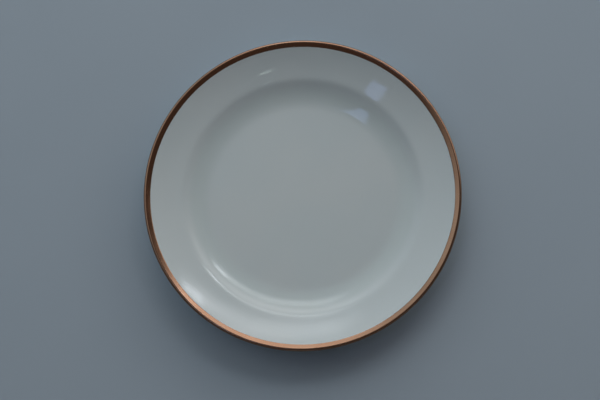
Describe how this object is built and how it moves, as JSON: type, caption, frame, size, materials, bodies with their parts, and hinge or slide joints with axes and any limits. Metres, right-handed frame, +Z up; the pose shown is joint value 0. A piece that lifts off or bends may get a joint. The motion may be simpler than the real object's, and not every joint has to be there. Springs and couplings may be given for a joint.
{
  "type": "dinner plate",
  "caption": "Round flat-rimmed porcelain dinner plate: white glazed well and rim, a copper-gold band over the lip, and a bare foot ring to stand on.",
  "frame": {"origin": "centre of the plane that the foot ring rests on", "axes": "+Z up out of the eating face along the plate's axis; +X and +Y are alike, because every piece is turned about Z"},
  "size_m": [0.25, 0.25, 0.0245],
  "materials": {
    "porcelain": "unglazed fired porcelain, matt and slightly rough, showing only on the foot ring",
    "glaze": "clear glossy glaze over cool white porcelain",
    "gilding": "fired copper-gold, polished, slightly worn"
  },
  "bodies": {
    "root": {"porcelain_body": "porcelain", "glaze_coat": "glaze", "foot_recess_glaze": "glaze", "gilt_rim_band": "gilding"}
  },
  "joints": []
}
